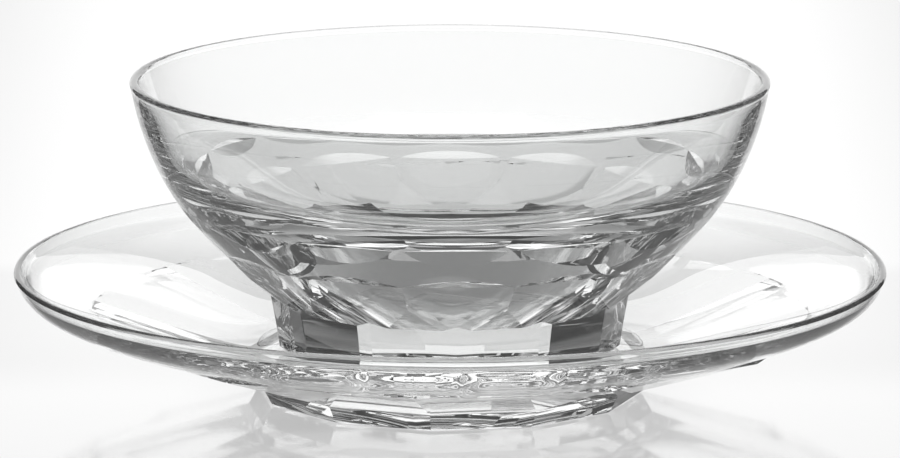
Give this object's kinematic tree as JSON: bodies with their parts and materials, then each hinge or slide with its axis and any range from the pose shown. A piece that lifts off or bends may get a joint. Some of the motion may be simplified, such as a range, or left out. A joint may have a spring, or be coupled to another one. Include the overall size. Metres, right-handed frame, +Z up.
{
  "type": "finger bowl with underplate",
  "caption": "Clear cut-crystal finger bowl with faceted lower wall and short solid foot, standing on a matching shallow underplate with an upturned rim.",
  "frame": {"origin": "on the table, at the centre of the underplate's foot, under the common axis of plate and bowl", "axes": "+Z up along the common axis, the viewer of the picture stands on the -Y side, +X to the viewer's right"},
  "size_m": [0.165, 0.165, 0.06],
  "materials": {
    "crystal_plate": "polished clear crystal",
    "crystal_bowl": "polished clear crystal"
  },
  "bodies": {
    "underplate": {"underplate": "crystal_plate"},
    "bowl": {"bowl": "crystal_bowl"}
  },
  "joints": [
    {"name": "bowl_lift", "type": "slide", "parent": "underplate", "child": "bowl", "axis": [0, 0, 1], "range_m": [0, 0.06]}
  ]
}
